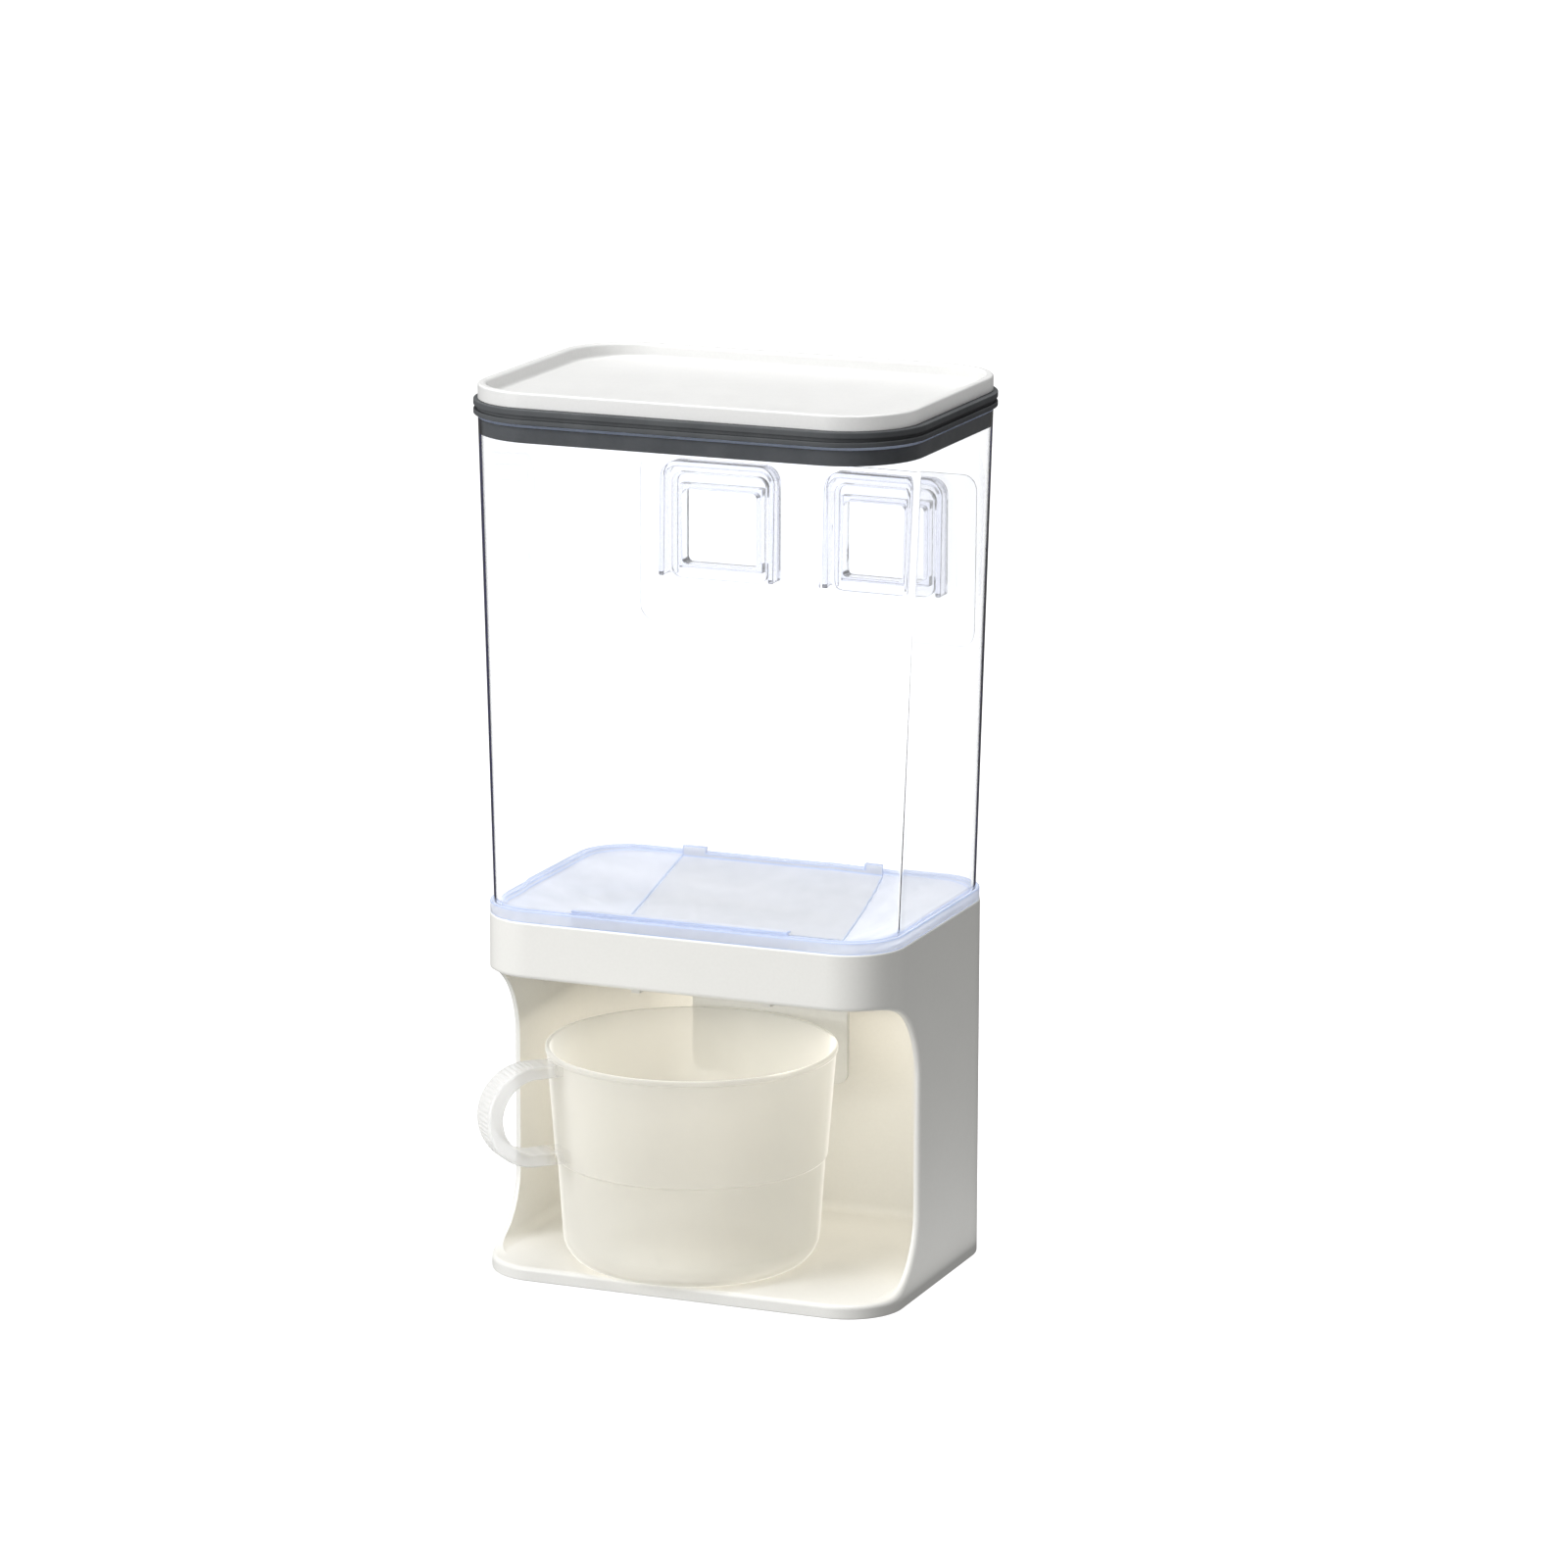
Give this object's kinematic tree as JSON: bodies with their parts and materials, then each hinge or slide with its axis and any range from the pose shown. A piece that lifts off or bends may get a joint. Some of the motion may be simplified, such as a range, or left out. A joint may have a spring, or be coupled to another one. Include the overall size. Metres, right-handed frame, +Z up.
{
  "type": "cereal dispenser",
  "caption": "Cereal dispenser: clear lidded container over a funnel, a white base with a push plate that opens the outlet gate above a handled measuring cup, and wall hooks behind.",
  "frame": {"origin": "centre of the base's footprint, on the surface it stands on", "axes": "+X to the right, +Y to the back (the wall side), +Z up"},
  "size_m": [0.1608, 0.1445, 0.3076],
  "materials": {
    "ivory_plastic": "satin moulded",
    "white_plastic": "satin moulded",
    "grey_white_plastic": "fine texture",
    "clear_plastic": "polished clear moulding",
    "frosted_plastic": "translucent, lightly frosted",
    "clear_film": "clear film",
    "slate_silicone": "matte",
    "pale_silicone": "matte",
    "steel": "bright drawn"
  },
  "bodies": {
    "base": {"base_housing": "ivory_plastic", "inner_deck": "ivory_plastic", "deck_screws": "steel", "lever_pin": "steel", "pin_clips": "steel", "return_spring": "steel"},
    "lever": {"push_lever": "grey_white_plastic", "gate_pad": "pale_silicone"},
    "container": {"container_body": "clear_plastic", "hopper_frame": "clear_plastic", "sluice_insert": "clear_plastic", "hook_socket_left": "clear_plastic", "hook_socket_right": "clear_plastic"},
    "lid": {"lid_shell": "white_plastic", "lid_seal": "slate_silicone", "lid_liner": "white_plastic"},
    "cup": {"cup_body": "frosted_plastic", "cup_handle": "frosted_plastic"},
    "wall_plate": {"wall_sheet": "clear_film", "adhesive_film": "clear_film", "wall_hook_left": "clear_plastic", "wall_hook_right": "clear_plastic"}
  },
  "joints": [
    {"name": "lever_pivot", "type": "hinge", "parent": "base", "child": "lever", "pos_m": [0, 0.035, 0.1015], "axis": [1, 0, 0], "range_deg": [0, 15], "stiffness_Nm_per_rad": 0.12, "springref_deg": -17.19, "deforming": ["return_spring"]},
    {"name": "container_lift", "type": "slide", "parent": "base", "child": "container", "axis": [0, 0, 1], "range_m": [0, 0.06]},
    {"name": "lid_lift", "type": "slide", "parent": "container", "child": "lid", "axis": [0, 0, 1], "range_m": [0, 0.05]},
    {"name": "cup_slide", "type": "slide", "parent": "base", "child": "cup", "axis": [0, -1, 0], "range_m": [0, 0.12]},
    {"name": "wall_plate_slide", "type": "slide", "parent": "container", "child": "wall_plate", "axis": [0, 0, -1], "range_m": [0, 0.045]}
  ]
}
